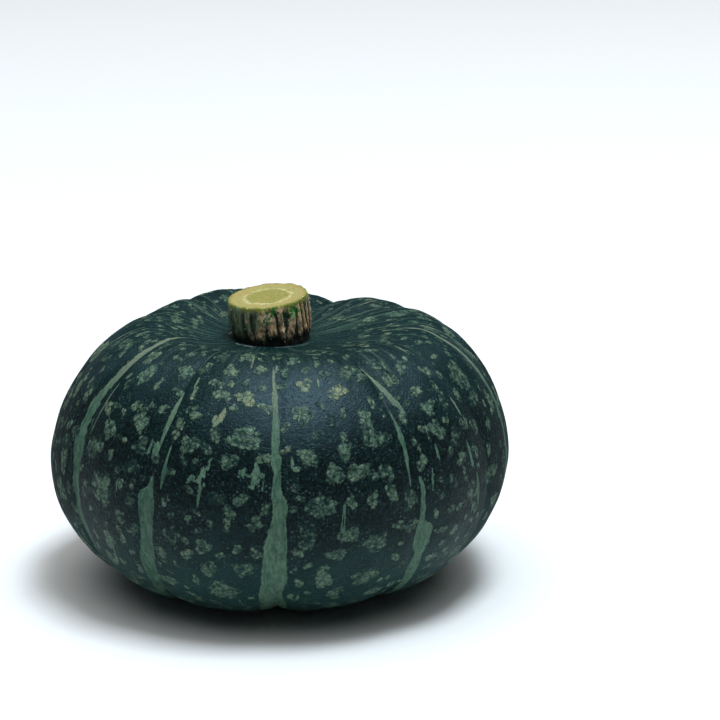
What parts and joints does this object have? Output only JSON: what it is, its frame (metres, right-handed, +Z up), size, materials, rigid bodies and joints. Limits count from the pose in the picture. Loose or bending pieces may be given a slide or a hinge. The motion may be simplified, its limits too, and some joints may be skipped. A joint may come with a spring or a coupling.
{
  "type": "kabocha squash",
  "caption": "Whole kabocha squash: a squat, shallow-lobed dark green fruit with pale stripes and mottling, and a short cut, corky stem. Stands on its base.",
  "frame": {"origin": "middle of the fruit's outline, on the surface that the squash stands on", "axes": "+Z up through the stem, -Y towards the front, +X to the right seen from the front"},
  "size_m": [0.1802, 0.1798, 0.1151],
  "materials": {
    "rind": "waxy dark green rind with grey-green furrow stripes, mottled pale spots and fine pale speckle",
    "stem_cork": "dry ridged stem, tan cork on the ridges, green between them, and a pale yellow-green cut face"
  },
  "bodies": {
    "root": {"fruit": "rind", "stem": "stem_cork"}
  },
  "joints": []
}
